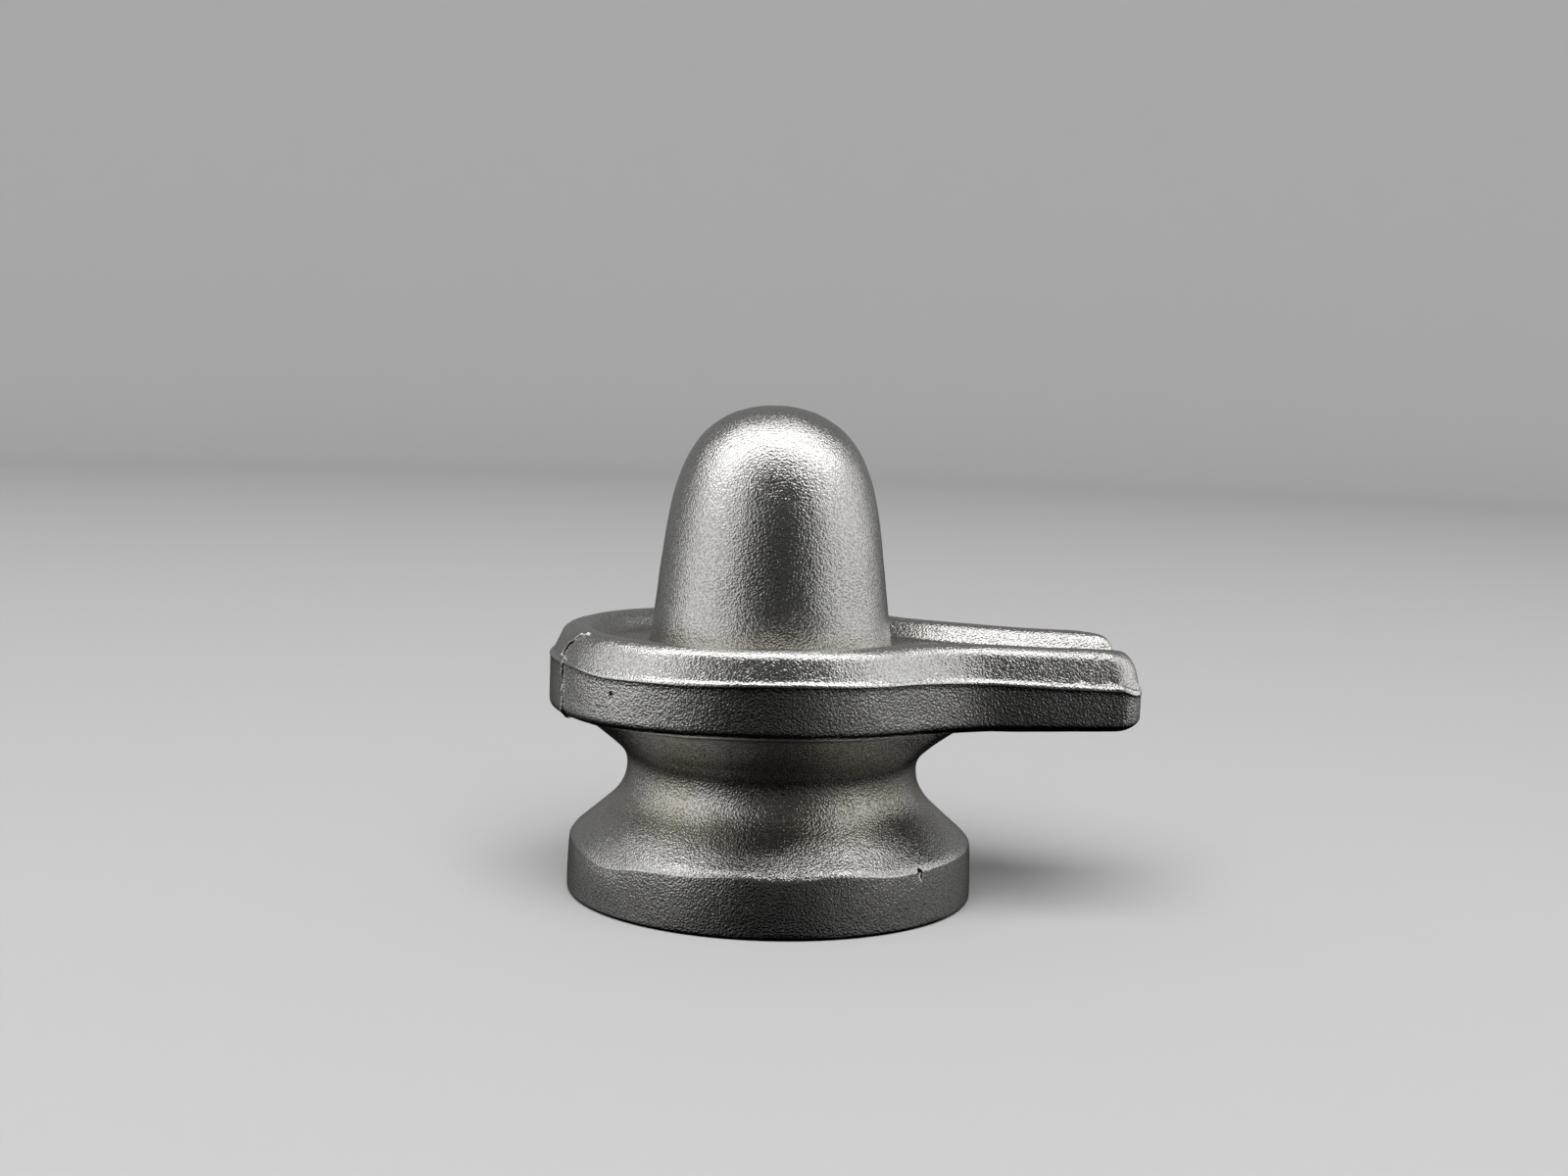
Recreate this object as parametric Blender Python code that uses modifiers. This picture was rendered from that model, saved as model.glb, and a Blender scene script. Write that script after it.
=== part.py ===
"""A small cast-metal shiva lingam: a rounded pillar standing in a shallow basin with an open spout.

One casting: a drum-shaped foot rises through a hollow neck to a keyhole-shaped tray, the tray's raised
rim runs out as the two rails of a pouring spout, and the pillar stands on the basin's floor.
The origin is the centre of the foot's underside, +Z is up, and the spout points along +X.
"""

import math

import bmesh
import bpy

# The foot, a drum with a rounded shoulder
FOOT_RADIUS = 0.01595
FOOT_WALL = 0.0034
FOOT_EDGE = 0.0003
SHOULDER_ROUND = 0.0022

# The neck, hollow below and above its waist
WAIST_RADIUS = 0.01142
NECK_SLOPE = math.radians(39)
COVE_ROUND = 0.0040
FLARE_ROUND = 0.00215
FLARE_TURN = math.radians(65)

# The belly, where the round neck spreads into the tray's keyhole outline
BELLY_RISE = 0.0020
BELLY_RADIUS = 0.0152
BELLY_INSET = 0.0021
BELLY_SPREAD = 1.8
BELLY_LIFT = 5.0

# The tray, a ring drawn out into a spout, measured at the ridge round its side
RING_RADIUS = 0.01642
RING_OFFSET = -0.0012
SPOUT_REACH = 0.0279
SPOUT_HALF_WIDTH = 0.00769
SPOUT_TAPER = math.radians(5.7)
SPOUT_FILLET = 0.01315
SPOUT_CORNER = 0.0015
TIP_DRAFT = 0.8
BELLY_TO_EDGE = 0.0003
EDGE_ROUND = 0.0009
BAND_HEIGHT = 0.0040
RIDGE_PROUD = 0.00012
RIM_HEIGHT = 0.0026

# The rim's section across its crest
RIM_DRAFT = 0.0010
CREST_ROUND = 0.0007
CREST_FLAT = 0.0004
INNER_ROUND = 0.0009
INNER_DRAFT = 0.0004
BASIN_DEPTH = 0.00145

# The spout's ridge and crest sink a little towards its tip, and its underside lifts
SAG_START = 0.008
EDGE_LIFT = 0.0002
RIDGE_SAG = 0.00065
CREST_SAG = 0.00035

# The pillar
PILLAR_RADIUS = 0.0095
PILLAR_HEIGHT = 0.01873
PILLAR_TAPER = 0.234
PILLAR_OFFSET = -0.00035
PILLAR_FILLET = 0.0003
CAP_RISE_POWER = 6.0
CAP_ROUND_POWER = 2.2

# How far one body of the casting runs into the next
OVERLAP = 0.0010

# Facets
RING_STEPS = 54
FILLET_STEPS = 7
RAIL_STEPS = 4
CORNER_STEPS = 3
TIP_STEPS = 6
BELLY_STEPS = 5
PILLAR_STEPS = 64
PILLAR_LEVELS = 18


def arc(centre, radius, start, end, steps):
    """Points on a circular arc, both ends included."""
    return [
        (
            centre[0] + radius * math.cos(start + (end - start) * i / steps),
            centre[1] + radius * math.sin(start + (end - start) * i / steps),
        )
        for i in range(steps + 1)
    ]


def line(start, end, steps):
    """Points along a straight line, both ends included."""
    return [tuple(a + (b - a) * i / steps for a, b in zip(start, end)) for i in range(steps + 1)]


def smooth_step(value):
    """Runs from 0 to 1 with level ends."""
    value = min(max(value, 0.0), 1.0)
    return value * value * (3.0 - 2.0 * value)


def foot_and_neck_profile():
    """The round part's outline from the foot's lower edge to the end of the flare, as radius and height.

    The shoulder's arc and the cove's arc are joined by a straight slope, and the flare turns out again.
    """
    turn = math.pi / 2 - NECK_SLOPE
    step_in = FOOT_RADIUS - WAIST_RADIUS
    share = min(1.0, step_in / ((SHOULDER_ROUND + COVE_ROUND) * (1.0 - math.cos(turn))))
    shoulder = SHOULDER_ROUND * share
    cove = COVE_ROUND * share
    run = step_in - (shoulder + cove) * (1.0 - math.cos(turn))
    waist_height = FOOT_WALL + (shoulder + cove) * math.sin(turn) + run * math.tan(NECK_SLOPE)
    foot_edge = arc((FOOT_RADIUS - FOOT_EDGE, FOOT_EDGE), FOOT_EDGE, -math.pi / 2, 0.0, 2)
    shoulder_arc = arc((FOOT_RADIUS - shoulder, FOOT_WALL), shoulder, 0.0, turn, 4)
    cove_arc = arc((WAIST_RADIUS + cove, waist_height), cove, math.pi + turn, math.pi, 4)
    flare_centre = (WAIST_RADIUS + FLARE_ROUND, waist_height)
    flare_arc = arc(flare_centre, FLARE_ROUND, math.pi, math.pi - FLARE_TURN, 4)
    return foot_edge + shoulder_arc + cove_arc + flare_arc[1:]


NECK_PROFILE = foot_and_neck_profile()
FLARE_RADIUS, FLARE_TOP = NECK_PROFILE[-1]
BELLY_HEIGHT = FLARE_TOP + BELLY_RISE
EDGE_HEIGHT = BELLY_HEIGHT + BELLY_TO_EDGE
RIDGE_HEIGHT = EDGE_HEIGHT + BAND_HEIGHT
CREST_HEIGHT = RIDGE_HEIGHT + RIM_HEIGHT
FLOOR_HEIGHT = CREST_HEIGHT - BASIN_DEPTH


def keyhole(inset, reach=SPOUT_REACH, corner=SPOUT_CORNER):
    """The tray's outline moved inwards by inset: ring, fillets, rails and tip, as a closed loop.

    The loop starts on the ring opposite the spout and has the same number of points at every inset,
    so that two of them join face by face. Its second half mirrors its first.
    """
    ring = RING_RADIUS - inset
    fillet = SPOUT_FILLET + inset
    normal = (math.sin(SPOUT_TAPER), math.cos(SPOUT_TAPER))
    rail = SPOUT_REACH * normal[0] + SPOUT_HALF_WIDTH * normal[1]
    span = RING_RADIUS + SPOUT_FILLET
    lean = (rail + SPOUT_FILLET - RING_OFFSET * normal[0]) / span
    meet = math.pi / 2 - SPOUT_TAPER - math.acos(max(-1.0, min(1.0, lean)))
    hub = (RING_OFFSET + span * math.cos(meet), span * math.sin(meet))
    bend = max(corner - inset, OVERLAP / 20)
    bend_x = reach - inset * TIP_DRAFT - bend
    bend_y = (rail - inset - bend - bend_x * normal[0]) / normal[1]
    ring_arc = arc((RING_OFFSET, 0.0), ring, math.pi, meet, RING_STEPS // 2)
    fillet_arc = arc(hub, fillet, meet + math.pi, 1.5 * math.pi - SPOUT_TAPER, FILLET_STEPS)
    bend_arc = arc((bend_x, bend_y), bend, math.pi / 2 - SPOUT_TAPER, 0.0, CORNER_STEPS)
    rail_line = line(fillet_arc[-1], bend_arc[0], RAIL_STEPS)
    tip_line = line(bend_arc[-1], (bend_arc[-1][0], 0.0), TIP_STEPS // 2)
    half = ring_arc + fillet_arc[1:] + rail_line[1:] + bend_arc[1:] + tip_line[1:]
    return half + [(x, -y) for x, y in reversed(half[1:-1])]


def spread(radius, inset, share):
    """An outline between a circle about the axis (share 0) and the tray's keyhole (share 1)."""
    points = []
    for x, y in keyhole(inset):
        reach = math.hypot(x, y)
        circle = (radius * x / reach, radius * y / reach)
        points.append((circle[0] + (x - circle[0]) * share, circle[1] + (y - circle[1]) * share))
    return points


def sag(x, height):
    """How far the form sinks at x: nothing on the ring, most at the tip, where its underside lifts."""
    share = smooth_step((x - SAG_START) / (SPOUT_REACH - SAG_START))
    if height <= FLARE_TOP:
        return 0.0
    if height <= RIDGE_HEIGHT:
        rise = max(height - EDGE_HEIGHT, 0.0) / BAND_HEIGHT
        return (-EDGE_LIFT + (RIDGE_SAG + EDGE_LIFT) * rise) * share
    rise = min((height - RIDGE_HEIGHT) / RIM_HEIGHT, 1.0)
    return (RIDGE_SAG + (CREST_SAG - RIDGE_SAG) * rise) * share


def lofted_body(name, sections):
    """A closed body through outlines with equal numbers of points, each with its height, bottom up."""
    mesh = bmesh.new()
    loops = []
    for points, height in sections:
        loops.append([mesh.verts.new((x, y, height - sag(x, height))) for x, y in points])
    count = len(loops[0])
    for low, high in zip(loops, loops[1:]):
        for i in range(count):
            j = (i + 1) % count
            mesh.faces.new((low[i], high[i], high[j], low[j]))
    for loop in (loops[0], loops[-1]):
        # a cap is a row of strips, each from one half of the loop to the other
        for i in range(count // 2):
            corners = [loop[i], loop[i + 1], loop[count - i - 1], loop[-i]]
            mesh.faces.new(list(dict.fromkeys(corners)))
    bmesh.ops.recalc_face_normals(mesh, faces=mesh.faces)
    data = bpy.data.meshes.new(name)
    mesh.to_mesh(data)
    mesh.free()
    return bpy.data.objects.new(name, data)


def foot_neck_and_tray():
    """The casting without its basin and pillar: foot, neck, belly, side band, ridge and rim."""
    sections = [(spread(radius, 0.0, 0.0), height) for radius, height in NECK_PROFILE]
    for i in range(1, BELLY_STEPS + 1):
        share = (i / BELLY_STEPS) ** BELLY_SPREAD
        rise = 1.0 - (1.0 - share) ** BELLY_LIFT
        radius = FLARE_RADIUS + (BELLY_RADIUS - FLARE_RADIUS) * rise
        sections.append((spread(radius, BELLY_INSET, share), FLARE_TOP + BELLY_RISE * rise))
    levels = [
        (EDGE_ROUND, EDGE_HEIGHT),
        (EDGE_ROUND * 0.35, EDGE_HEIGHT + EDGE_ROUND * 0.5),
        (RIDGE_PROUD, EDGE_HEIGHT + EDGE_ROUND * 1.2),
        (RIDGE_PROUD, RIDGE_HEIGHT - RIDGE_PROUD * 2),
        (0.0, RIDGE_HEIGHT),
        (RIDGE_PROUD * 2, RIDGE_HEIGHT + RIDGE_PROUD * 2.5),
    ]
    wall_top = CREST_HEIGHT - CREST_ROUND
    levels += line(levels[-1], (RIM_DRAFT, wall_top), 2)[1:]
    for turn in (30, 60, 90):
        angle = math.radians(turn)
        inset = RIM_DRAFT + CREST_ROUND * (1.0 - math.cos(angle))
        levels.append((inset, wall_top + CREST_ROUND * math.sin(angle)))
    sections += [(keyhole(inset), height) for inset, height in levels]
    return lofted_body("shiva_lingam", sections)


def basin_and_channel():
    """What is scooped out: the basin down to its floor, the rim's inner half, and the open channel."""
    crest = RIM_DRAFT + CREST_ROUND + CREST_FLAT
    wall = crest + INNER_ROUND
    past_tip = SPOUT_REACH + 2 * (wall + INNER_DRAFT)
    inner_drop = min(INNER_ROUND, BASIN_DEPTH * 0.6)
    levels = [
        (wall + INNER_DRAFT * 2, FLOOR_HEIGHT),
        (wall + INNER_DRAFT * 1.3, FLOOR_HEIGHT + INNER_DRAFT * 0.3),
    ]
    for turn in (0, 30, 60, 90):
        angle = math.radians(turn)
        inset = crest + INNER_ROUND * math.cos(angle)
        levels.append((inset, CREST_HEIGHT - inner_drop * (1.0 - math.sin(angle))))
    levels.append((crest, CREST_HEIGHT + OVERLAP))
    sections = [(keyhole(inset, reach=past_tip, corner=0.0), height) for inset, height in levels]
    return lofted_body("basin", sections)


def turned_body(name, profile):
    """A solid of revolution about the object's own Z axis, from a profile running top to bottom."""
    data = bpy.data.meshes.new(name)
    edges = [(i, i + 1) for i in range(len(profile) - 1)]
    data.from_pydata([(radius, 0.0, height) for radius, height in profile], edges, [])
    body = bpy.data.objects.new(name, data)
    screw = body.modifiers.new("Turn", "SCREW")
    screw.steps = PILLAR_STEPS
    screw.render_steps = PILLAR_STEPS
    screw.use_merge_vertices = True
    screw.merge_threshold = 0.00001
    return body


def pillar():
    """The pillar: a slight taper closed by a full round cap, with a small fillet at its foot."""
    outline = []
    for i in range(PILLAR_LEVELS + 1):
        rise = 1.0 - (1.0 - i / PILLAR_LEVELS) ** 2.2
        width = PILLAR_RADIUS * (1.0 - PILLAR_TAPER * rise)
        width *= (1.0 - rise**CAP_RISE_POWER) ** (1.0 / CAP_ROUND_POWER)
        outline.append((width, FLOOR_HEIGHT + PILLAR_HEIGHT * rise))
    shaft = [point for point in outline if point[1] > FLOOR_HEIGHT + PILLAR_FILLET * 1.5]
    toe = (PILLAR_RADIUS + PILLAR_FILLET, FLOOR_HEIGHT + PILLAR_FILLET)
    fillet = arc(toe, PILLAR_FILLET, 1.5 * math.pi, math.pi, 4)[1:]
    sunk = FLOOR_HEIGHT - OVERLAP
    foot = [(0.0, sunk), (toe[0], sunk), (toe[0], FLOOR_HEIGHT - OVERLAP / 10)]
    body = turned_body("pillar", (foot + fillet + shaft)[::-1])
    body.location.x = PILLAR_OFFSET
    return body


def cast_metal():
    """Silver-grey cast metal with a frosty skin."""
    material = bpy.data.materials.new("frosted white metal")
    material.use_nodes = True
    shader = material.node_tree.nodes["Principled BSDF"]
    shader.inputs["Base Color"].default_value = (0.62, 0.61, 0.58, 1.0)
    shader.inputs["Metallic"].default_value = 0.95
    shader.inputs["Roughness"].default_value = 0.42
    return material


def combine(body, tool, operation):
    """Adds a Boolean that joins the tool to the body or cuts it away."""
    boolean = body.modifiers.new(operation.title() + " " + tool.name, "BOOLEAN")
    boolean.operation = operation
    boolean.solver = "EXACT"
    boolean.object = tool


def build():
    """Makes the casting in a collection of its own and keeps its tools in another."""
    for old in list(bpy.data.objects):
        bpy.data.objects.remove(old, do_unlink=True)
    parts = bpy.data.collections.new("shiva lingam")
    tools = bpy.data.collections.new("cutters")
    bpy.context.scene.collection.children.link(parts)
    bpy.context.scene.collection.children.link(tools)
    casting = foot_neck_and_tray()
    parts.objects.link(casting)
    casting.data.materials.append(cast_metal())
    for tool, operation in ((basin_and_channel(), "DIFFERENCE"), (pillar(), "UNION")):
        tools.objects.link(tool)
        tool.hide_render = True
        tool.display_type = "WIRE"
        combine(casting, tool, operation)
    casting.data.shade_smooth()
    casting.data.set_sharp_from_angle(angle=math.radians(35))


build()
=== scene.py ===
"""The looks of a small cast-metal shiva lingam: its fine surface, its frosty finish and the studio round it.

The casting is one closed surface worked out with numpy on a grid. Its lines run upright from the middle
of the underside, over foot, neck, tray, rim and basin, to the top of the pillar. Its levels run round the
object, as circles on foot and pillar and as keyhole outlines on the tray.
"""

import math

import bpy
import numpy as np
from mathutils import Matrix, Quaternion


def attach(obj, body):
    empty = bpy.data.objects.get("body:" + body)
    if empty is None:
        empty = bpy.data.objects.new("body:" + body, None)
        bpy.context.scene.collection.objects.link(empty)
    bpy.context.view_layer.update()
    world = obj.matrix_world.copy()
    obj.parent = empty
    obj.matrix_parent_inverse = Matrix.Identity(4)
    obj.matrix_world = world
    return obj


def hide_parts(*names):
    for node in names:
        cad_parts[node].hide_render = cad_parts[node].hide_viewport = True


bl_info = {
    "name": "Cast Metal Shiva Lingam",
    "version": (1, 0, 0),
    "blender": (4, 5, 0),
    "location": "View3D > Sidebar > Lingam",
    "description": "Builds the fine surface, finish and studio of a small cast shiva lingam",
    "category": "Object",
}

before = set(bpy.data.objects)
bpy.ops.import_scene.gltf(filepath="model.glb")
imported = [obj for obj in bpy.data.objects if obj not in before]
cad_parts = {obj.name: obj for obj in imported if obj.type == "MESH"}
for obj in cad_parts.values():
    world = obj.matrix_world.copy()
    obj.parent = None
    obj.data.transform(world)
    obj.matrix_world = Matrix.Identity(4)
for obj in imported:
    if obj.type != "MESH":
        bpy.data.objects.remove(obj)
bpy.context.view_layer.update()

MM = 0.001
GOLDEN_TURN = math.pi * (3.0 - math.sqrt(5.0))
GOLDEN_SHARE = 0.618034

# Where the lines crowd on the near side, with half of each stretch and its number of lines.
# Seam and dent are given as directions about the ring's centre, the pit as a share of the fillet.
SEAM_SPAN, SEAM_LINES = math.radians(1.6), 26
DENT_TURN, DENT_SPAN, DENT_LINES = math.radians(130.3), math.radians(1.6), 12
PIT_SHARE, PIT_SPAN, PIT_LINES = 0.207, 0.045, 12

# The seam's course over the rim: how far it turns towards the spout at each inset from the ridge
SEAM_INSETS = [0.0, 0.14 * MM, 0.35 * MM, 0.66 * MM, 1.04 * MM, 1.64 * MM, 2.1 * MM, 3.0 * MM]
SEAM_TURNS = [math.radians(turn) for turn in (0.0, -0.5, -3.5, -2.5, 0.5, 4.0, 4.0, 0.0)]
SLIDE_SPAN = math.radians(12.0)

# Place, half width and half height of the dent in the band, the pit in the foot's crease and the nub
# at the spout's near corner
DENT = ((-11.78 * MM, -12.47 * MM, 16.9 * MM), 0.30 * MM, 0.24 * MM)
PIT = ((11.25 * MM, -11.0 * MM, 4.15 * MM), 0.29 * MM, 0.42 * MM)
NUB = ((27.85 * MM, -6.4 * MM, 17.75 * MM), 0.35 * MM, 0.30 * MM)

# Humps and dips round the casting: share of the whole height, direction and half width in degrees
RIDGE_HUMPS = ((-0.3, -131.0, 7.0), (0.9, -82.0, 24.0))
EDGE_HUMPS = ((0.4, -156.0, 16.0), (0.7, -98.0, 42.0))
CREASE_HUMPS = (
    (0.7, -68.0, 10.0),
    (0.6, -99.0, 8.0),
    (0.4, 112.0, 14.0),
    (-1.6, -142.0, 13.0),
    (-0.25, -52.0, 9.0),
    (-0.6, 40.0, 11.0),
)

# The bead of the ridge line, from its outer foot over the ridge to the rim, in ridge widths
BEAD_INSETS = [0.8, 0.35, 0.0, 0.4, 1.4, 2.7, 3.9]
BEAD_RISES = [-2.5, -1.2, 0.0, 1.3, 2.6, 3.8, 5.0]
BEAD_FOOT, BEAD_END = -3.5, (4.8, 6.5)

# How strongly the surface bends, per metre, where edges start to be worn and grooves to hold residue
WORN_BEND, WORN_RUN = 400.0, 1500.0
HOLLOW_BEND, HOLLOW_RUN = 3000.0, 5000.0

# Pieces of the tray's outline, from the ring's back to the middle of the spout's tip
RING, FILLET, RAIL, CORNER, TIP = range(5)
OUTLINE_STEPS = {RING: 98, FILLET: 22, RAIL: 26, CORNER: 15, TIP: 28}


def length(name, millimetres, description):
    """A size that a user may change, kept in metres."""
    return bpy.props.FloatProperty(
        name=name, description=description, default=millimetres * MM, unit="LENGTH", precision=5
    )


def angle(name, degrees, description):
    """An angle that a user may change."""
    return bpy.props.FloatProperty(
        name=name, description=description, default=math.radians(degrees), subtype="ANGLE"
    )


def share(name, value, description):
    """A plain number that a user may change."""
    return bpy.props.FloatProperty(name=name, description=description, default=value, precision=3)


def colour(name, value, description):
    """A colour that a user may change."""
    return bpy.props.FloatVectorProperty(
        name=name, description=description, default=value, size=3, subtype="COLOR", min=0.0, max=1.0
    )


class LINGAM_PG_foot(bpy.types.PropertyGroup):
    """Sizes of the drum-shaped foot and the hollow neck."""

    radius: length("Foot radius", 15.95, "Radius of the drum")
    wall: length("Foot wall", 4.2, "Height of the crease above the drum's side")
    draft: length("Foot draft", 0.15, "How far the drum's side leans in up to the crease")
    edge: length("Foot edge", 0.3, "Rounding of the drum's lower edge")
    crease: length("Crease", 0.3, "Rounding of the crease between side and shoulder")
    crease_turn: angle("Crease turn", 30.0, "How steep the shoulder starts above the crease")
    shoulder: length("Shoulder", 2.0, "Rounding from the crease to the neck's slope")
    waist_height: length("Waist height", 10.03, "Height of the neck's waist")
    waist: length("Waist radius", 11.42, "Smallest radius of the neck")
    cove: length("Cove", 4.0, "Hollow rounding below the waist")
    flare: length("Flare", 2.15, "Hollow rounding above the waist")
    flare_turn: angle("Flare turn", 50.0, "How far the flare turns outwards")


class LINGAM_PG_tray(bpy.types.PropertyGroup):
    """Sizes of the keyhole-shaped tray with its rim, basin and spout."""

    edge_height: length("Lower edge height", 14.28, "Height of the tray's lower edge on the ring")
    belly_slope: share("Belly slope", 0.84, "Rise of the tray's underside where it leaves the flare")
    belly_bend: share("Belly bend", 1.2, "How evenly the underside levels out")
    ring_radius: length("Ring radius", 16.42, "Radius of the ring at its ridge")
    ring_offset: length("Ring offset", -1.2, "Place of the ring's centre along the spout")
    reach: length("Spout reach", 27.9, "Distance from the axis to the spout's tip")
    half_width: length("Spout half width", 7.69, "Half the spout's width at its tip")
    taper: angle("Spout taper", 5.7, "Turn of each rail towards the middle")
    fillet: length("Spout fillet", 13.15, "Hollow rounding between ring and spout")
    corner: length("Spout corner", 1.8, "Rounding of the spout's corners seen from above")
    end_round: length("End rounding", 1.9, "Rounding of the rails' crests down over the spout's end")
    end_lean: length("End lean", 0.25, "Lean of the spout's end below its rounding")
    end_lift: length("End lift", 0.65, "How far the lower edge curls up at the tip")
    end_dip: length("End dip", 0.35, "How far the ridge line dips round the tip's corners")
    tip_draft: share("Tip draft", 0.8, "How much the spout's end leans compared with its sides")
    edge_round: length("Lower edge", 0.75, "Rounding of the tray's lower edge")
    band: length("Band", 4.0, "Height of the upright side band")
    ridge: length("Ridge", 0.07, "How far the ridge line stands proud of the band")
    rim: length("Rim", 2.6, "Height of the rim above the ridge line")
    rim_draft: length("Rim draft", 0.88, "How far in the crest's rounding starts")
    crest: length("Crest width", 1.3, "Width of the crest's outer rounding")
    crest_drop: length("Crest drop", 1.1, "Height of the crest's outer rounding")
    crest_flat: length("Crest flat", 0.1, "Width of the rim's level crest")
    inner: length("Inner side", 1.9, "Width of the rim's inner side")
    basin: length("Basin depth", 1.45, "Depth of the basin below the crest")
    sag_start: length("Sag start", 8.0, "Where the spout starts to sink")
    edge_lift: length("Edge lift", 0.2, "How far the lower edge rises at the tip")
    ridge_sag: length("Ridge sag", 0.65, "How far the ridge line sinks at the tip")
    crest_sag: length("Crest sag", 0.35, "How far the crest sinks at the tip")


class LINGAM_PG_pillar(bpy.types.PropertyGroup):
    """Sizes of the rounded pillar."""

    radius: length("Pillar radius", 9.5, "Radius at the basin's floor")
    height: length("Pillar height", 18.73, "Height above the basin's floor")
    taper: share("Taper", 0.234, "Share of the radius lost towards the top")
    offset: length("Pillar offset", -0.35, "Place of the pillar's axis along the spout")
    fillet: length("Pillar fillet", 0.3, "Hollow rounding at the pillar's foot")
    rise_power: share("Cap start", 6.0, "How late the round cap starts")
    round_power: share("Cap roundness", 2.2, "How full the round cap is")


class LINGAM_PG_marks(bpy.types.PropertyGroup):
    """Traces of casting and use: flash seam, uneven ridge and crease, soft waves, dent, pit and nub."""

    seam_turn: angle("Seam", 154.0, "Direction of the flash seam from the spout, on the near side")
    seam_height: length("Seam height", 0.17, "How far the seam stands proud")
    seam_width: length("Seam width", 0.095, "Half width of the seam's fin")
    groove: length("Seam groove", 0.14, "Depth of the groove beside the seam")
    ridge_rise: length("Ridge rise", 0.26, "How far the ridge line climbs behind the seam")
    crease_wobble: length("Crease wobble", 0.40, "Depth of the deepest dip in the foot's crease")
    wave: length("Waves", 0.03, "Height of the soft unevenness of the casting")
    ripple: share("Ripples", 0.4, "Height of the shorter waves as a share of the soft ones")
    dent: length("Dent", 0.34, "Depth of the dent in the band")
    pit: length("Pit", 0.55, "Depth of the pit in the foot's crease")
    nub: length("Nub", 0.16, "Height of the nub at the spout's near corner")


class LINGAM_PG_finish(bpy.types.PropertyGroup):
    """Colours and grain of the frosty cast skin, with a painted shade colour for the grain's low places."""

    metal: colour("Metal", (0.66, 0.655, 0.635), "Colour of the clean metal")
    burnished: colour("Burnished", (0.80, 0.795, 0.78), "Colour of the metal on worn edges")
    # Painted shade: a darker colour for the grain's low places, standing in for the shade that falls between
    # the grains.
    painted_pit_shade: colour("Pores", (0.46, 0.45, 0.425), "Colour of the metal deep in the grain")
    residue: colour("Residue", (0.43, 0.375, 0.265), "Colour of the residue left in hollows")
    roughness: share("Roughness", 0.20, "Roughness between the grains")
    grain: length("Grain", 0.145, "Width of one grain of the skin")
    grain_depth: length("Grain depth", 0.038, "Height of the grain")


class LINGAM_PG_stage(bpy.types.PropertyGroup):
    """Floor, backdrop and lights."""

    floor: colour("Floor", (0.62, 0.62, 0.62), "Colour of floor and backdrop")
    front: share("Front", 0.052, "Brightness of the surroundings on the camera's side")
    back: share("Back", 0.22, "Brightness of the surroundings behind the object")
    below: share("Below", 0.22, "Brightness of the surroundings on both sides just below the horizon")
    left_power: share("Left panel", 0.66, "Brightness of the soft panel on the left")
    front_power: share("Front panel", 0.52, "Brightness of the soft panel at the left in front")
    right_power: share("Right panel", 0.64, "Brightness of the soft panel on the right")
    top_power: share("Top panel", 1.62, "Brightness of the soft panel overhead")
    floor_power: share("Floor light", 10.5, "Power of the wide light that only brightens floor and backdrop")


def arc(centre, radius, start, end, steps):
    """Points on a circular arc: the centre plus the radius times cosine and sine of an even sweep."""
    sweep = np.linspace(start, end, steps + 1)
    return np.column_stack([centre[0] + radius * np.cos(sweep), centre[1] + radius * np.sin(sweep)])


def smooth_step(value):
    """Runs from 0 to 1 with level ends: three squares less two cubes."""
    value = np.clip(value, 0.0, 1.0)
    return value * value * (3.0 - 2.0 * value)


def foot_and_neck_profile(foot):
    """Radius and height from the foot's lower edge to the end of the flare.

    A quarter round, the drum's side, the crease's small arc, the shoulder's arc, a straight slope, the
    cove's arc and the flare's arc. The side leans in by the cube of the height. The slope touches both
    arcs, so it turns from the line between their centres by the angle whose cosine is the sum of their
    radii over that line's length.
    """
    lean = math.atan(3.0 * foot.draft / (foot.wall - foot.edge))
    bend = foot.crease_turn
    top = foot.radius - foot.draft
    edge = arc((foot.radius - foot.edge, foot.edge), foot.edge, -math.pi / 2, 0.0, 4)
    middle = (top - foot.crease * math.cos(lean), foot.wall - foot.crease * math.sin(lean))
    crease = arc(middle, foot.crease, lean, bend, 6)
    centre = crease[-1] - foot.shoulder * np.array([math.cos(bend), math.sin(bend)])
    waist = foot.waist_height
    hub = np.array([foot.waist + foot.cove, waist])
    between = hub - centre
    touch = math.acos((foot.shoulder + foot.cove) / np.hypot(*between))
    turn = math.atan2(between[1], between[0]) - touch
    shoulder = arc(centre, foot.shoulder, bend, turn, 8)
    cove = arc(hub, foot.cove, math.pi + turn, math.pi, 15)
    flare = arc((foot.waist + foot.flare, waist), foot.flare, math.pi, math.pi - foot.flare_turn, 10)
    rise = np.linspace(0.0, 1.0, 15)[1:-1]
    wall = np.column_stack(
        [foot.radius - foot.draft * rise**3, edge[-1, 1] + (foot.wall - edge[-1, 1]) * rise]
    )
    slope = np.linspace(shoulder[-1], cove[0], 10)[1:-1]
    return np.vstack([edge, wall, crease, shoulder[1:], slope, cove, flare[1:]])


def tray_heights(foot, tray):
    """Heights of the flare's end, the tray's lower edge, its ridge line, crest and basin floor."""
    flare = foot_and_neck_profile(foot)[-1, 1]
    edge = tray.edge_height
    ridge = edge + tray.band
    crest = ridge + tray.rim
    return {"flare": flare, "edge": edge, "ridge": ridge, "crest": crest, "floor": crest - tray.basin}


def levelling(value, power):
    """Climbs from 0 and levels out at 1: one less a power of what is left."""
    return 1.0 - (1.0 - np.minimum(value, 1.0)) ** power


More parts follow.
